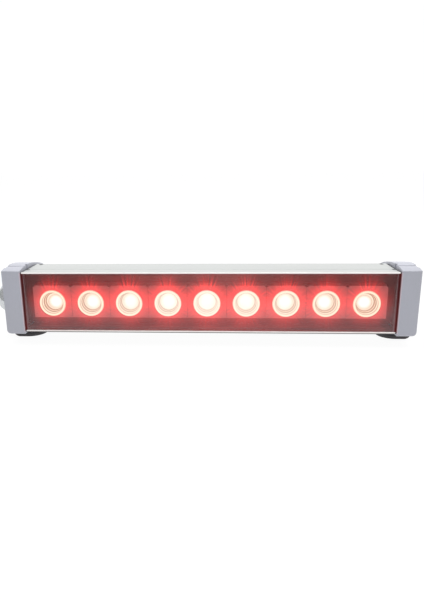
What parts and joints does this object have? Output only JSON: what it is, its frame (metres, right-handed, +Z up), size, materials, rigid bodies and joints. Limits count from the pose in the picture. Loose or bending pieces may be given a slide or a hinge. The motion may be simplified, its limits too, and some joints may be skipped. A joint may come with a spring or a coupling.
{
  "type": "led strip batten",
  "caption": "Slim lighting batten: extruded metal channel with a row of round lenses behind a clear front, silver end covers, a tilting foot bracket at each end and a cable gland on the left.",
  "frame": {"origin": "on the surface that the feet stand on, under the middle of the whole batten's box", "axes": "+X along the batten, +Y from the lens side towards the back, +Z up"},
  "size_m": [0.352, 0.062, 0.063],
  "materials": {
    "channel": "pale satin anodised extrusion with fine draw lines along its length",
    "cover": "satin silver-grey paint",
    "glass": "clear polished sheet",
    "rubber": "matt black seal",
    "holder": "moulded plate lit red by the emitters",
    "lens": "clear moulded collimator, warm rim",
    "board": "white solder mask on aluminium, dark along its edges",
    "emitter": "led package",
    "driver_board": "green circuit board",
    "black_plastic": "moulded black plastic",
    "steel": "zinc plated",
    "black_steel": "black oxide",
    "bracket": "satin black painted steel strip",
    "plated": "satin nickel plated brass",
    "transformer": "yellow tape wrap",
    "wire": "insulated wire"
  },
  "bodies": {
    "housing": {"housing_extrusion": "channel", "front_glass": "glass", "glass_gasket": "rubber", "lens_1": "lens", "led_emitter_1": "emitter", "lens_2": "lens", "led_emitter_2": "emitter", "lens_3": "lens", "led_emitter_3": "emitter", "lens_4": "lens", "led_emitter_4": "emitter", "lens_5": "lens", "led_emitter_5": "emitter", "lens_6": "lens", "led_emitter_6": "emitter", "lens_7": "lens", "led_emitter_7": "emitter", "lens_8": "lens", "led_emitter_8": "emitter", "lens_9": "lens", "led_emitter_9": "emitter", "lens_holder_left": "holder", "led_board_left": "board", "lens_holder_centre": "holder", "led_board_centre": "board", "lens_holder_right": "holder", "led_board_right": "board", "driver_board": "driver_board", "driver_transformer": "transformer", "driver_capacitor": "black_plastic", "terminal_block": "black_plastic", "led_feed_wire": "wire", "end_cover_left": "cover", "cover_seal_left": "rubber", "cover_screw_left_upper": "steel", "cover_screw_left_lower": "steel", "lock_screw_left": "black_steel", "friction_washer_left": "black_plastic", "outer_washer_left": "steel", "end_cover_right": "cover", "cover_seal_right": "rubber", "cover_screw_right_upper": "steel", "cover_screw_right_lower": "steel", "lock_screw_right": "black_steel", "friction_washer_right": "black_plastic", "outer_washer_right": "steel", "pivot_bolt_right": "steel", "gland_body": "plated", "gland_dome_nut": "plated", "gland_lock_nut": "plated", "gland_seal": "rubber"},
    "left_bracket": {"tilt_bracket_left": "bracket"},
    "right_bracket": {"tilt_bracket_right": "bracket"}
  },
  "joints": [
    {"name": "left_tilt", "type": "hinge", "parent": "housing", "child": "left_bracket", "pos_m": [-0.1568, 0.004, 0.0312], "axis": [1, 0, 0], "range_deg": [-15, 90]},
    {"name": "right_tilt", "type": "hinge", "parent": "housing", "child": "right_bracket", "pos_m": [0.1688, 0.004, 0.0312], "axis": [1, 0, 0], "range_deg": [-15, 90]}
  ]
}
